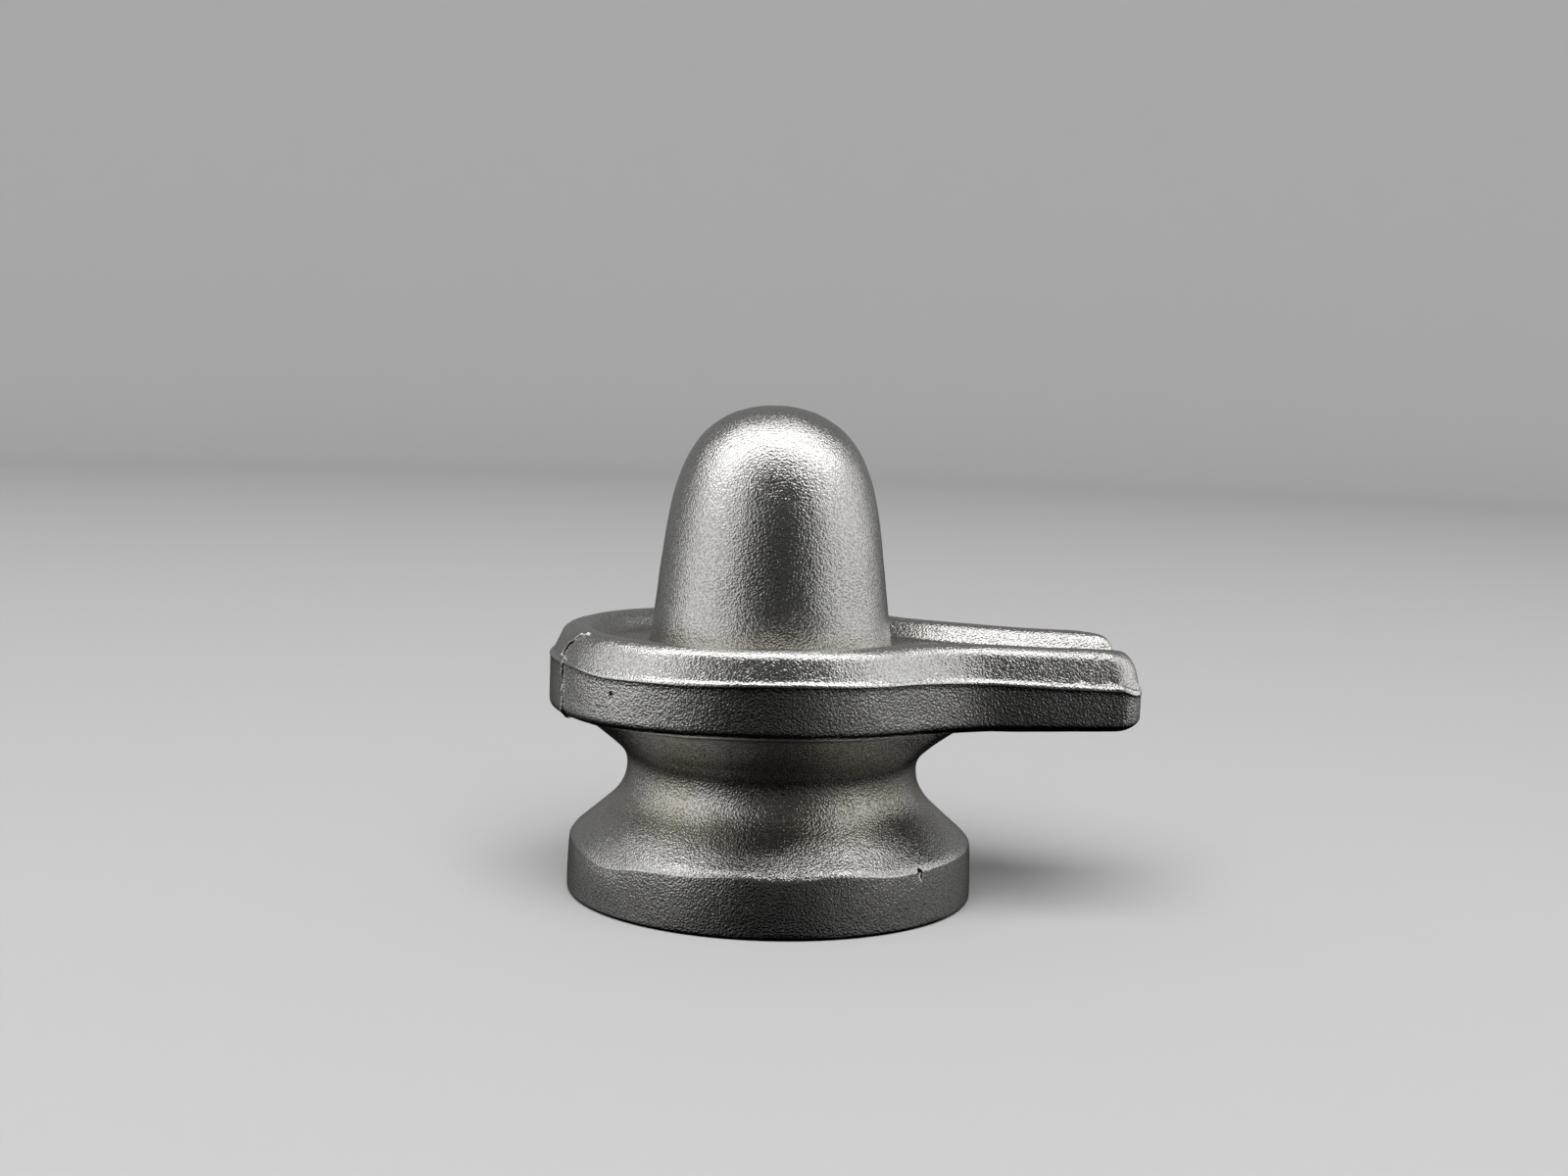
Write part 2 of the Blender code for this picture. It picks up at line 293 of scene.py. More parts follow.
def ring_end(tray):
    """Where ring and fillet meet, as a direction about the ring's centre.

    The fillet's hub lies where ring and rail are both one fillet radius away.
    """
    across, ahead = math.sin(tray.taper), math.cos(tray.taper)
    rail = tray.reach * across + tray.half_width * ahead
    lean = (rail + tray.fillet - tray.ring_offset * across) / (tray.ring_radius + tray.fillet)
    return math.pi / 2 - tray.taper - math.acos(lean)


def crowded(shares, place, half_width, count):
    """Even shares with a denser run of them round a place."""
    kept = shares[np.abs(shares - place) > half_width]
    dense = np.linspace(place - half_width, place + half_width, count)
    return np.sort(np.concatenate([kept, dense[(dense > 0.0) & (dense < 1.0)]]))


def outline_lines(tray, marks):
    """Where the upright lines cross the tray's outline: the piece, the share along it and the side.

    The lines run from the ring's back along one side to the tip's middle and back along the other side.
    On the tip they crowd towards the corners, where the channel's walls come out, and on the near side
    of the ring they crowd round the seam, the dent and the pit.
    """
    sweep = math.pi - ring_end(tray)
    pieces, shares, sides = [], [], []
    for side in (1, -1):
        order = (RING, FILLET, RAIL, CORNER, TIP)[::side]
        for piece in order:
            along = np.arange(OUTLINE_STEPS[piece]) / OUTLINE_STEPS[piece]
            if side < 0:
                along = 1.0 - along[::-1]
                if piece == RING:
                    along = crowded(along, (math.pi - marks.seam_turn) / sweep, SEAM_SPAN / sweep, SEAM_LINES)
                    along = crowded(along, (math.pi - DENT_TURN) / sweep, DENT_SPAN / sweep, DENT_LINES)
                elif piece == FILLET:
                    along = crowded(along, PIT_SHARE, PIT_SPAN, PIT_LINES)
                along = along[::-1]
            if piece == TIP:
                along = along**1.4
            pieces.append(np.full(len(along), piece))
            shares.append(along)
            sides.append(np.full(len(along), side))
    return np.concatenate(pieces), np.concatenate(shares), np.concatenate(sides)


def keyhole(tray, inset, lines, slide=0.0):
    """The tray's outline moved inwards, one row for each inset and one column for each upright line.

    The ring is an arc about the ring's centre, less the inset. The fillet is an arc about its hub outside
    the tray, plus the inset. The rail is a straight line, the corner a small arc and the tip a line across.
    The slide turns the ring's lines round its centre, so that they can follow the seam.
    """
    piece, along, side = lines
    inset = np.asarray(inset, float)[:, None]
    across, ahead = math.sin(tray.taper), math.cos(tray.taper)
    rail = tray.reach * across + tray.half_width * ahead
    span = tray.ring_radius + tray.fillet
    meet = ring_end(tray)
    hub = (tray.ring_offset + span * math.cos(meet), span * math.sin(meet))
    tightest, ease = 0.3 * MM, 0.2 * MM
    spare = tray.corner - inset - tightest
    bend = tightest + 0.5 * (spare + np.hypot(spare, ease))
    bend_x = tray.reach - inset * tray.tip_draft - bend
    bend_y = (rail - inset - bend - bend_x * across) / ahead

    turn = math.pi + (meet - math.pi) * along + slide
    ring_x = tray.ring_offset + (tray.ring_radius - inset) * np.cos(turn)
    ring_y = (tray.ring_radius - inset) * np.sin(turn)
    last = 1.5 * math.pi - tray.taper
    turn = meet + math.pi + (last - meet - math.pi) * along
    fillet_x = hub[0] + (tray.fillet + inset) * np.cos(turn)
    fillet_y = hub[1] + (tray.fillet + inset) * np.sin(turn)
    start_x = hub[0] + (tray.fillet + inset) * math.cos(last)
    start_y = hub[1] + (tray.fillet + inset) * math.sin(last)
    end_x = bend_x + bend * across
    end_y = bend_y + bend * ahead
    turn = (math.pi / 2 - tray.taper) * (1.0 - along)
    level = np.ones_like(along)
    kinds = [piece == RING, piece == FILLET, piece == RAIL, piece == CORNER, piece == TIP]
    x = np.select(
        kinds,
        [
            ring_x,
            fillet_x,
            start_x + (end_x - start_x) * along,
            bend_x + bend * np.cos(turn),
            (bend_x + bend) * level,
        ],
    )
    y = np.select(
        kinds,
        [
            ring_y,
            fillet_y,
            start_y + (end_y - start_y) * along,
            bend_y + bend * np.sin(turn),
            bend_y * (1.0 - along),
        ],
    )
    return x, y * side


def sag(tray, heights, x, height):
    """How far the spout sinks at x and height: a smooth step along the spout times a share for the height.

    At the tip the lower edge curls up by a power of the way, and the ridge line dips by a smooth step.
    """
    curl_run, curl_power = 2.0 * MM, 1.6
    dip_start, dip_run = 1.7 * MM, 1.2 * MM
    along = smooth_step((x - tray.sag_start) / (tray.reach - tray.sag_start))
    low = np.clip((height - heights["edge"]) / tray.band, 0.0, 1.0)
    high = np.clip((height - heights["ridge"]) / tray.rim, 0.0, 1.0)
    lift = -tray.edge_lift + (tray.ridge_sag + tray.edge_lift) * low
    curl = np.clip((x - tray.reach + curl_run) / curl_run, 0.0, 1.0) ** curl_power
    dip = smooth_step((x - tray.reach + dip_start) / dip_run)
    end = tray.end_dip * dip * low * (1.0 - high) - tray.end_lift * curl * (1.0 - low)
    whole = along * (lift + (tray.crest_sag - tray.ridge_sag) * high) + end
    return np.where(height <= heights["flare"], 0.0, whole)


def leaning_round(start, lean, width, drop, crest, steps=72):
    """Insets and heights up a side: a straight line that touches an elliptic round, then the round.

    The round is level at the crest. With the heights stretched until it is a circle, the line's tilt is the
    tilt towards its middle plus the angle whose sine is the radius over the distance.
    """
    stretch = width / drop
    across = lean + width - start[0]
    up = (crest - drop - start[1]) * stretch
    tilt = math.atan2(up, across) + math.asin(width / math.hypot(across, up))
    sweep = np.linspace(math.pi / 2 - tilt, math.pi / 2, steps + 1)
    insets = lean + width * (1.0 - np.cos(sweep))
    levels = crest - drop * (1.0 - np.sin(sweep))
    return np.append(start[0], insets), np.append(start[1], levels)


def outer_side(tray, heights):
    """Insets and heights up the rim's outside, from the bead's end to the crest."""
    start = (BEAD_END[0] * tray.ridge, heights["ridge"] + BEAD_END[1] * tray.ridge)
    return leaning_round(start, tray.rim_draft, tray.crest, tray.crest_drop, heights["crest"])


def end_side(tray, heights):
    """Insets and heights up the spout's end."""
    start = (0.0, heights["ridge"])
    return leaning_round(start, tray.end_lean, tray.end_round, tray.end_round, heights["crest"])


def end_height(tray, heights, from_rail, from_tip):
    """Height of the spout's rounded end, found by halving.

    It is the highest level whose outline still holds the point. That outline is the rail's and the end's
    insets at the level, with one rounded corner between them.
    """
    halvings = 22
    side_insets, side_levels = outer_side(tray, heights)
    end_insets, end_levels = end_side(tray, heights)
    low = np.full(from_rail.shape, heights["ridge"])
    high = np.full(from_rail.shape, heights["crest"])
    for _ in range(halvings):
        middle = 0.5 * (low + high)
        inside_rail = from_rail - np.interp(middle, side_levels, side_insets)
        inside_tip = from_tip - np.interp(middle, end_levels, end_insets)
        cut = np.hypot(np.maximum(tray.corner - inside_rail, 0.0), np.maximum(tray.corner - inside_tip, 0.0))
        round_off = (inside_rail < tray.corner) & (inside_tip < tray.corner)
        holds = np.where(round_off, tray.corner - cut, np.minimum(inside_rail, inside_tip)) >= 0.0
        low = np.where(holds, middle, low)
        high = np.where(holds, high, middle)
    return low


def inner_height(tray, heights, inset):
    """Height of the rim's inside above an inset: a smooth step from the crest to the floor.

    A power of the inset makes it slow to start.
    """
    slow = 1.6
    inside = np.clip((inset - tray.rim_draft - tray.crest - tray.crest_flat) / tray.inner, 0.0, 1.0)
    return heights["crest"] - tray.basin * smooth_step(inside**slow)


def soft_lower(first, second, blend):
    """The lower of two heights, with the crease between them rounded over the blend."""
    mix = np.clip(0.5 + 0.5 * (second - first) / blend, 0.0, 1.0)
    return second + (first - second) * mix - blend * mix * (1.0 - mix)


def rim_height(tray, heights, inset, x, y, lines):
    """Height of rim and channel: the lower of the rim's outside and its inside.

    On ring and fillet both are measured by the inset. Towards the tip the outside is measured from the
    rounded end of the spout, and the inside from the rails alone, which leaves the channel open. There
    the crease between the two is rounded.
    """
    round_start, round_run, blend = 4.0 * MM, 2.0 * MM, 0.25 * MM
    piece = lines[0]
    across, ahead = math.sin(tray.taper), math.cos(tray.taper)
    rail = tray.reach * across + tray.half_width * ahead
    from_rail = rail - x * across - np.abs(y) * ahead
    on_spout = np.broadcast_to(piece >= RAIL, x.shape)
    end = end_height(tray, heights, from_rail, tray.reach - x)
    outside = np.where(on_spout, end, np.interp(inset, *outer_side(tray, heights)))
    inside = inner_height(tray, heights, np.where(on_spout, from_rail, inset))
    near_tip = smooth_step((x - tray.reach + round_start) / round_run) * on_spout
    plain = np.minimum(outside, inside)
    return plain + (soft_lower(outside, inside, blend) - plain) * near_tip


def hump(value, centre, half_width):
    """A bell between 0 and 1 round a centre."""
    return np.exp(-(((value - centre) / half_width) ** 2))


def humps(direction, table):
    """The sum of a table's bells round the casting, each times its share of the height."""
    return sum(part * hump(direction, middle, half_width) for part, middle, half_width in table)


def unevenness(marks, tray, heights, foot, x, y, z):
    """Small rises and dips of ridge, lower edge and crease: bells round the object times bells in height.

    Behind the seam the ridge line climbs to a level stretch, by a smooth step on both its sides.
    """
    rear, half_stretch, climb = -174.0, 39.0, 16.0
    edge_reach, crease_reach = 1.5 * MM, 0.9 * MM
    around = np.degrees(np.arctan2(y, x - tray.ring_offset))
    away = np.abs((around - rear + 180.0) % 360.0 - 180.0)
    behind = smooth_step((half_stretch - away) / climb)
    low = np.clip((z - heights["edge"]) / tray.band, 0.0, 1.0)
    high = np.clip((z - heights["ridge"]) / tray.rim, 0.0, 1.0)
    at_ridge = np.where(z > heights["edge"], low * (1.0 - high), 0.0)
    ridge = marks.ridge_rise * (behind + humps(around, RIDGE_HUMPS))
    edge = marks.ridge_rise * humps(around, EDGE_HUMPS)
    crease = marks.crease_wobble * humps(np.degrees(np.arctan2(y, x)), CREASE_HUMPS)
    at_edge = hump(z, heights["edge"], edge_reach)
    return ridge * at_ridge + edge * at_edge + crease * hump(z, foot.wall, crease_reach)


def seam(marks, tray, heights, points, lines):
    """Height of the flash seam: a thin fin with a groove on its near side, both broken by waves.

    Both are bells across the seam, and the fin widens on the crest. It runs up the band, over the rim and
    out along the crest.
    """
    break_length, spread_start, spread_run = 0.45 * MM, 0.7 * MM, 0.5 * MM
    rim_stop, rim_fade, band_stop, band_fade = 1.9 * MM, 0.25 * MM, 0.2 * MM, 0.4 * MM
    piece, along, side = lines
    turn = math.pi + (ring_end(tray) - math.pi) * along
    across = np.where((piece == RING) & (side < 0), (marks.seam_turn - turn) * tray.ring_radius, 1.0)
    height = points[:, :, 2]
    rough = np.clip(0.75 + 0.6 * waves(points, break_length, 18), 0.15, 1.6)
    spread = smooth_step((height - heights["crest"] + spread_start) / spread_run)
    fin = marks.seam_height * hump(across, 0.0, marks.seam_width * (1.0 + 1.5 * spread))
    groove = marks.groove * hump(across, 2.2 * marks.seam_width, 1.2 * marks.seam_width)
    outer = np.hypot(points[:, :, 0] - tray.ring_offset, points[:, :, 1])
    on_rim = smooth_step((outer - tray.ring_radius + rim_stop) / rim_fade)
    on_band = smooth_step((height - heights["edge"] + band_stop) / band_fade)
    return (fin - groove) * rough * on_rim * on_band


def pressed(points, centre, half_width, half_height, depth):
    """A dent round a centre: depth times the square of one less the squared distance in its own widths."""
    rel = points - np.array(centre)
    side = np.array([-centre[1], centre[0]]) / math.hypot(centre[0], centre[1])
    across = (rel[:, :, 0] * side[0] + rel[:, :, 1] * side[1]) / half_width
    square = across**2 + (rel[:, :, 2] / half_height) ** 2
    near = np.linalg.norm(rel, axis=2) < 3.0 * max(half_width, half_height)
    return depth * np.where(near, np.clip(1.0 - square, 0.0, 1.0) ** 2, 0.0)


def seam_slide(marks, lines, inset, sweep):
    """How far the ring's lines turn at each inset to follow the seam, fading out away from it."""
    piece, along, side = lines
    path = np.interp(inset, SEAM_INSETS, SEAM_TURNS)[:, None]
    away = np.abs(math.pi - sweep * along - marks.seam_turn) / SLIDE_SPAN
    window = smooth_step(1.15 - away) * (piece == RING) * (side < 0)
    return -path * window


def foot_levels(foot, cos, sin):
    """Circles from near the underside's middle up foot and neck to the flare's end."""
    under = np.linspace(0.0, foot.radius - foot.edge, 7)[1:-1]
    profile = np.vstack([np.column_stack([under, 0.0 * under]), foot_and_neck_profile(foot)])
    return profile[:, :1] * cos, profile[:, :1] * sin, profile[:, 1:] * np.ones_like(cos)


def belly_levels(tray, heights, lines, flare_x, flare_y):
    """From the flare's circle to the tray's lower edge, by straight mixes of the two.

    The belly climbs from the flare and levels out under the spout. Its levels crowd at the flare.
    """
    steps, crowding = 15, 1.5
    spread = (np.arange(1, steps + 1) / steps)[:, None] ** crowding
    edge_x, edge_y = keyhole(tray, [tray.edge_round + tray.ridge], lines)
    width = np.hypot(edge_x - flare_x, edge_y - flare_y)
    climb = heights["edge"] - heights["flare"]
    level_at = climb * tray.belly_bend / tray.belly_slope
    rise = levelling(width * spread / level_at, tray.belly_bend)
    rise = rise / levelling(width / level_at, tray.belly_bend)
    x = flare_x + (edge_x - flare_x) * spread
    y = flare_y + (edge_y - flare_y) * spread
    return x, y, heights["flare"] + climb * rise


def band_levels(tray, heights, lines):
    """Round the lower edge by a quarter arc, straight up the band and over the bead of the ridge line."""
    steps = 12
    ridge = tray.ridge
    round_out = arc((tray.edge_round, tray.edge_round), tray.edge_round, -math.pi / 2, -math.pi, 6)[1:]
    insets = np.concatenate([round_out[:, 0] + ridge, np.full(steps, ridge), ridge * np.array(BEAD_INSETS)])
    band_start, band_end = heights["edge"] + tray.edge_round, heights["ridge"] + BEAD_FOOT * ridge
    rises = np.concatenate(
        [
            heights["edge"] + round_out[:, 1],
            np.linspace(band_start, band_end, steps + 2)[1:-1],
            heights["ridge"] + ridge * np.array(BEAD_RISES),
        ]
    )
    x, y = keyhole(tray, insets, lines)
    return x, y, rises[:, None] * np.ones_like(x)


def rim_levels(tray, heights, marks, lines):
    """Up the rim's outside, over the crest and down the inside to the floor of basin and channel."""
    side = outer_side(tray, heights)[0]
    insets = np.concatenate(
        [
            np.linspace(side[0], side[1], 6)[:-1],
            side[1::8],
            side[-1] + tray.crest_flat + tray.inner * np.linspace(0.0, 1.0, 13),
        ]
    )
    x, y = keyhole(tray, insets, lines, seam_slide(marks, lines, insets, math.pi - ring_end(tray)))
    return x, y, rim_height(tray, heights, insets[:, None], x, y, lines)


def floor_levels(heights, pillar, around, rim_x, rim_y):
    """Level from the rim's foot to the circle round the pillar's foot, by straight mixes of the two."""
    steps = 18
    mix = (np.arange(1, steps + 1) / steps)[:, None]
    toe = pillar.radius + pillar.fillet
    x = rim_x + (pillar.offset + toe * np.cos(around) - rim_x) * mix
    y = rim_y + (toe * np.sin(around) - rim_y) * mix
    return x, y, np.full_like(x, heights["floor"])


def pillar_levels(heights, pillar, around):
    """Circles up the pillar's small fillet and its shaft, nearly to the top.

    The radius falls evenly with the share of the height, times a round cap: the root of one less a high
    power of that share. The levels crowd towards the top.
    """
    steps, crowding = 56, 1.7
    toe = pillar.radius + pillar.fillet
    fillet = arc((toe, pillar.fillet), pillar.fillet, 1.5 * math.pi, math.pi, 5)[1:]
    climb = 1.0 - (1.0 - np.arange(1, steps) / steps) ** crowding
    width = pillar.radius * (1.0 - pillar.taper * climb)
    width = width * (1.0 - climb**pillar.rise_power) ** (1.0 / pillar.round_power)
    shaft = np.column_stack([width, pillar.height * climb])
    turned = np.vstack([fillet, shaft[shaft[:, 1] > 1.5 * pillar.fillet]])
    x = pillar.offset + turned[:, :1] * np.cos(around)
    y = turned[:, :1] * np.sin(around)
    return x, y, (heights["floor"] + turned[:, 1:]) * np.ones_like(x)


def casting_grid(foot, tray, pillar, marks):
    """The casting's points, level by level from the underside's middle to the pillar's top, and its poles.

    Each upright line keeps its direction from the axis on foot and pillar. The pillar and the last few
    levels of the floor beside it don't sink with the spout.
    """
    still = 4
    lines = outline_lines(tray, marks)
    heights = tray_heights(foot, tray)
    outline_x, outline_y = keyhole(tray, [0.0], lines)
    direction = np.arctan2(outline_y[0], outline_x[0])
    around = np.arctan2(outline_y[0], outline_x[0] - pillar.offset)
    neck = foot_levels(foot, np.cos(direction), np.sin(direction))
    belly = belly_levels(tray, heights, lines, neck[0][-1], neck[1][-1])
    rim = rim_levels(tray, heights, marks, lines)
    floor = floor_levels(heights, pillar, around, rim[0][-1], rim[1][-1])
    shaft = pillar_levels(heights, pillar, around)
    rows = [neck, belly, band_levels(tray, heights, lines), rim, floor, shaft]
    x, y, z = (np.vstack([row[axis] for row in rows]) for axis in range(3))
    sunk = len(x) - len(shaft[0]) - still
    z[:sunk] -= sag(tray, heights, x[:sunk], z[:sunk])
    z += unevenness(marks, tray, heights, foot, x, y, z)
    poles = np.array([[0.0, 0.0, 0.0], [pillar.offset, 0.0, heights["floor"] + pillar.height]])
    return np.stack([x, y, z], axis=2), poles


def raised_marks(points, foot, tray, marks):
    """How far each point moves outwards: soft waves, the flash seam, the nub, and less for dent and pit.

    The waves fade out at the underside, which stays flat.
    """
    wave_length, ripple_length, flat_height, fade = 6.0 * MM, 2.2 * MM, 0.1 * MM, 0.5 * MM
    soft = waves(points, wave_length) + marks.ripple * waves(points[:, :, ::-1], ripple_length)
    raised = marks.wave * soft * smooth_step((points[:, :, 2] - flat_height) / fade)
    raised += seam(marks, tray, tray_heights(foot, tray), points, outline_lines(tray, marks))
    raised -= pressed(points, *DENT, marks.dent) + pressed(points, *PIT, marks.pit)
    return raised + pressed(points, *NUB, marks.nub)


def grid_normals(points):
    """Outward directions on the grid: the cross product of the steps along the lines and round the levels."""
    up = np.gradient(points, axis=0)
    around = np.roll(points, -1, axis=1) - np.roll(points, 1, axis=1)
    normal = np.cross(up, around)
    size = np.linalg.norm(normal, axis=2, keepdims=True)
    return normal / np.maximum(size, 1e-15)


def waves(points, wavelength, count=26):
    """Soft unevenness between about -1 and 1: a sum of plane waves.

    Their directions are spread evenly over the sphere by the golden turn, their lengths differ by up to a
    quarter, and their phases grow with the square of their number.
    """
    total = np.zeros(points.shape[:2])
    for i in range(count):
        rise = 1.0 - 2.0 * (i + 0.5) / count
        flat = math.sqrt(1.0 - rise * rise)
        direction = np.array([flat * math.cos(GOLDEN_TURN * i), flat * math.sin(GOLDEN_TURN * i), rise])
        stretch = 0.75 + 0.5 * ((i * GOLDEN_SHARE) % 1.0)
        total += np.sin(points @ direction * (2 * math.pi * stretch / wavelength) + 2.4 * i * i)
    return total / math.sqrt(0.5 * count) * 0.5


def hollows(points, tray, heights):
    """Where residue stays: in the basin with the pillar's foot, on the neck, and under the tray.

    Each is a smooth step in height times a smooth step in the distance from the axis.
    """
    basin_top, basin_fade, rim_width, rim_fade = 0.8 * MM, 1.6 * MM, 2.4 * MM, 0.8 * MM
    neck_out, neck_fade, neck_low, low_fade = 15.2 * MM, 1.5 * MM, 5.2 * MM, 2.0 * MM
    out = np.hypot(points[:, :, 0], points[:, :, 1])
    z = points[:, :, 2]
    basin = smooth_step((heights["crest"] + basin_top - z) / basin_fade) * (z > heights["ridge"])
    basin = basin * smooth_step((tray.ring_radius - rim_width - out) / rim_fade)
    neck = smooth_step((neck_out - out) / neck_fade) * smooth_step((z - neck_low) / low_fade)
    neck = neck * (z < heights["edge"] + 0.1 * MM)
    return np.clip(0.7 * basin + 0.8 * neck, 0.0, 1.0)


def curvature(points, normals):
    """How strongly the surface bends outwards, per metre, along the lines and round them together.

    It is the change of the normal times the step between the neighbours, over the square of that step.
    """
    step = points[2:] - points[:-2]
    turn = normals[2:] - normals[:-2]
    along = np.zeros(points.shape[:2])
    along[1:-1] = np.sum(turn * step, axis=2) / np.maximum(np.sum(step * step, axis=2), 1e-12)
    step = np.roll(points, -1, axis=1) - np.roll(points, 1, axis=1)
    turn = np.roll(normals, -1, axis=1) - np.roll(normals, 1, axis=1)
    return along + np.sum(turn * step, axis=2) / np.maximum(np.sum(step * step, axis=2), 1e-12)


def casting_mesh(name, points, poles, worn, hollow):
    """One closed mesh: quads between neighbouring levels, and a fan of triangles round each pole.

    Two attributes say where its edges are worn and where residue has stayed in its hollows.
    """
    levels, lines = points.shape[:2]
    index = np.arange(levels * lines).reshape(levels, lines)
    after = np.roll(index, -1, axis=1)
    quads = np.stack([index[:-1], index[1:], after[1:], after[:-1]], axis=2).reshape(-1, 4)
    low, high = levels * lines, levels * lines + 1
    bottom = np.stack([np.full(lines, low), index[0], after[0]], axis=1)
    top = np.stack([index[-1], np.full(lines, high), after[-1]], axis=1)
    vertices = np.vstack([points.reshape(-1, 3), poles])
    faces = quads.tolist() + bottom.tolist() + top.tolist()
    mesh = bpy.data.meshes.new(name)
    mesh.from_pydata(vertices.tolist(), [], faces)
    mesh.polygons.foreach_set("use_smooth", np.ones(len(faces), bool))
    for label, value in (("worn", worn), ("hollow", hollow)):
        layer = mesh.attributes.new(label, "FLOAT", "POINT")
        layer.data.foreach_set("value", np.append(value.ravel(), [0.0, 0.0]).astype(np.float32))
    mesh.update()
    return mesh


class Nodes:
    """Adds nodes to a node tree with their settings and links in one call."""

    def __init__(self, tree):
        self.tree = tree

    def add(self, kind, settings=None, **links):
        """A new node: settings by property name, links and values by socket name or number."""
        node = self.tree.nodes.new(kind)
        for name, value in (settings or {}).items():
            setattr(node, name, value)
        for name, value in links.items():
            key = name.replace("_", " ")
            self.join(node, int(key[1:]) if key[1:].isdigit() else key, value)
        return node

    def join(self, node, key, value):
        """Links an output to the socket, or sets the socket's own value."""
        socket = node.inputs[key]
        if isinstance(value, bpy.types.NodeSocket):
            self.tree.links.new(value, socket)
        else:
            socket.default_value = value

    def scaled_sum(self, value, factor, other):
        """The value times the factor, plus the other value."""
        settings = {"operation": "MULTIPLY_ADD"}
        return self.add("ShaderNodeMath", settings, _0=value, _1=factor, _2=other).outputs[0]

    def product(self, first, second):
        """The two values multiplied."""
        return self.add("ShaderNodeMath", {"operation": "MULTIPLY"}, _0=first, _1=second).outputs[0]

    def ramp(self, value, start, end, low=0.0, high=1.0, kind="SMOOTHSTEP"):
        """Runs from low to high while the value runs from start to end, and stays level outside."""
        limits = {"From_Min": start, "From_Max": end, "To_Min": low, "To_Max": high}
        node = self.add("ShaderNodeMapRange", {"interpolation_type": kind}, Value=value, **limits)
        return node.outputs["Result"]

    def blend(self, share, first, second):
        """The first colour, mixed with the second by the share."""
        return self.add("ShaderNodeMix", {"data_type": "RGBA"}, _0=share, _6=first, _7=second).outputs[2]


def frosted_metal(finish):
    """Silver-grey cast metal, pebbled by its grain.

    The grain is noise less the distance from scattered points. Its low places get a painted shade, a darker
    colour, and are duller.
    Hollows keep some warm residue, in patches and most in the grain's low places. Worn edges are brighter
    and smoother.
    """
    material = bpy.data.materials.new("frosted white metal")
    material.use_nodes = True
    shader = material.node_tree.nodes["Principled BSDF"]
    nodes = Nodes(material.node_tree)
    place = nodes.add("ShaderNodeTexCoord").outputs["Object"]
    worn = nodes.add("ShaderNodeAttribute", {"attribute_name": "worn"}).outputs["Fac"]
    hollow = nodes.add("ShaderNodeAttribute", {"attribute_name": "hollow"}).outputs["Fac"]

    noise = {"Vector": place, "Scale": 1.0 / finish.grain, "Detail": 1.0, "Roughness": 0.5}
    grain = nodes.add("ShaderNodeTexNoise", **noise).outputs["Fac"]
    scatter = {"Vector": place, "Scale": 0.85 / finish.grain, "Smoothness": 0.3}
    away = nodes.add("ShaderNodeTexVoronoi", {"feature": "SMOOTH_F1"}, **scatter).outputs["Distance"]
    swell = nodes.add("ShaderNodeTexNoise", Vector=place, Scale=1.0 / (5.0 * MM), Detail=2.0).outputs["Fac"]
    height = nodes.scaled_sum(away, -0.8, grain)
    strength = nodes.ramp(worn, 0.0, 1.0, 1.0, 0.55, "LINEAR")
    bump = nodes.add("ShaderNodeBump", Distance=finish.grain_depth, Height=height, Strength=strength)

    # Painted shade: the grain's low places are mixed towards the darker pit colour, in place of the shade
    # that falls between the grains.
    raised = nodes.ramp(height, -0.14, 0.26)
    clean = nodes.blend(raised, (*finish.painted_pit_shade, 1.0), (*finish.metal, 1.0))
    rubbed = nodes.blend(nodes.product(worn, raised), clean, (*finish.burnished, 1.0))
    patches = nodes.ramp(swell, 0.3, 0.65, 0.25, 1.0)
    specks = nodes.ramp(height, 0.20, -0.10, 0.3, 1.0)
    stain = nodes.product(hollow, nodes.product(patches, specks))
    tinted = nodes.blend(stain, rubbed, (*finish.residue, 1.0))
    dull = nodes.ramp(raised, 0.0, 1.0, finish.roughness + 0.06, finish.roughness, "LINEAR")
    nodes.join(shader, "Base Color", tinted)
    nodes.join(shader, "Metallic", 1.0)
    nodes.join(shader, "Roughness", nodes.scaled_sum(stain, 0.10, dull))
    nodes.join(shader, "Normal", bump.outputs["Normal"])
    return material


class LINGAM_OT_casting(bpy.types.Operator):
    """Build the casting's fine surface in place of the plain solid"""

    bl_idname = "lingam.casting"
    bl_label = "Build Casting"

    def execute(self, context):
        scene = context.scene
        foot, tray, marks = scene.lingam_foot, scene.lingam_tray, scene.lingam_marks
        points, poles = casting_grid(foot, tray, scene.lingam_pillar, marks)
        heights = tray_heights(foot, tray)
        points = points + grid_normals(points) * raised_marks(points, foot, tray, marks)[:, :, None]
        bend = curvature(points, grid_normals(points))
        worn = smooth_step((bend - WORN_BEND) / WORN_RUN)
        hollow = np.maximum(hollows(points, tray, heights), smooth_step((-bend - HOLLOW_BEND) / HOLLOW_RUN))
        mesh = casting_mesh("lingam_casting", points, poles, worn, hollow)
        mesh.materials.append(frosted_metal(scene.lingam_finish))
        casting = bpy.data.objects.new("lingam_casting", mesh)
        scene.collection.objects.link(casting)
        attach(casting, "root")
        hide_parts("shiva_lingam")
        return {"FINISHED"}


def soft_light(name, place, target, width, height, power):
    """A rectangular area light that faces a target, with its width level."""
    data = bpy.data.lights.new(name, "AREA")
    data.shape = "RECTANGLE"
    data.size = width
    data.size_y = height
    data.energy = power
    light = bpy.data.objects.new(name, data)
    bpy.context.scene.collection.objects.link(light)
    place = np.array(place)
    back = place - np.array(target)
    back = back / np.linalg.norm(back)
    light.location = place
    light.rotation_euler = (math.acos(back[2]), 0.0, math.atan2(back[1], back[0]) + math.pi / 2)
    return light


